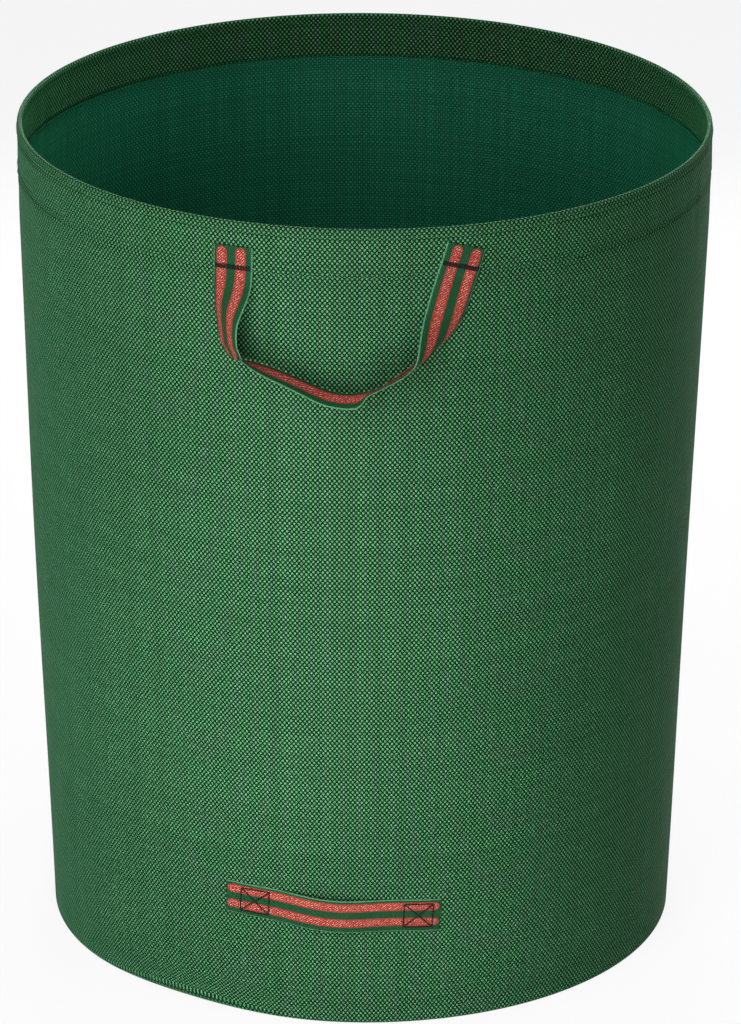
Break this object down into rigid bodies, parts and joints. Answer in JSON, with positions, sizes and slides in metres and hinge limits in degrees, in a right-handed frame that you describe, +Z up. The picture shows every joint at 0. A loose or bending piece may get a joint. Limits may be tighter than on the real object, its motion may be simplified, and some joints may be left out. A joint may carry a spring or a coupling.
{
  "type": "garden waste bag",
  "caption": "Round, open-topped garden waste bag of green woven plastic sheet, with a hooped rim hem, webbing lifting handles at the rim and a low webbing grab handle.",
  "frame": {"origin": "centre of the base, on the floor that the bag stands on", "axes": "+Z up the bag's axis to its open rim; -Y towards the front, the side with the low grab handle; +X to the right when that side is seen"},
  "size_m": [0.6636, 0.7278, 0.8],
  "materials": {
    "woven_sheet": "dark green woven plastic tape sheet, satin",
    "seam_tape": "plain woven tape, matte",
    "striped_webbing": "woven webbing with two red stripes on dark green, matte",
    "dark_thread": "twisted sewing thread, matte",
    "hoop_rod": "plain springy plastic rod and tube, matte"
  },
  "bodies": {
    "bag": {"side_panel": "woven_sheet", "base_panel": "woven_sheet", "base_seam_binding": "seam_tape", "base_seam_stitch": "dark_thread", "side_seam_tape": "seam_tape", "side_seam_stitch_front": "dark_thread", "side_seam_stitch_back": "dark_thread", "grab_handle_tab_left": "striped_webbing", "grab_handle_stitch_left": "dark_thread", "grab_handle_tab_right": "striped_webbing", "grab_handle_stitch_right": "dark_thread"},
    "rim": {"rim_hem": "woven_sheet", "hem_stitch_upper": "dark_thread", "hem_stitch_lower": "dark_thread", "hoop": "hoop_rod", "hoop_sleeve": "hoop_rod", "front_handle_tab_left": "striped_webbing", "front_handle_stitch_left": "dark_thread", "front_handle_tab_right": "striped_webbing", "front_handle_stitch_right": "dark_thread", "back_handle_tab_left": "striped_webbing", "back_handle_stitch_left": "dark_thread", "back_handle_tab_right": "striped_webbing", "back_handle_stitch_right": "dark_thread"},
    "front_handle": {"front_handle_loop": "striped_webbing"},
    "back_handle": {"back_handle_loop": "striped_webbing"},
    "grab_handle": {"grab_handle_loop": "striped_webbing"}
  },
  "joints": [
    {"name": "rim_collapse", "type": "slide", "parent": "bag", "child": "rim", "axis": [0, 0, 1], "range_m": [-0.4, 0], "deforming": ["side_panel", "side_seam_tape", "side_seam_stitch_front", "side_seam_stitch_back"]},
    {"name": "front_handle_swing", "type": "hinge", "parent": "rim", "child": "front_handle", "pos_m": [0, -0.324, 0.757], "axis": [-1, 0, 0], "range_deg": [0, 150]},
    {"name": "back_handle_swing", "type": "hinge", "parent": "rim", "child": "back_handle", "pos_m": [0, 0.324, 0.757], "axis": [1, 0, 0], "range_deg": [0, 150]},
    {"name": "grab_handle_swing", "type": "hinge", "parent": "bag", "child": "grab_handle", "pos_m": [-0.01321, -0.31512, 0.1325], "axis": [-0.9985, 0.0419, 0.0349], "range_deg": [0, 75]}
  ]
}
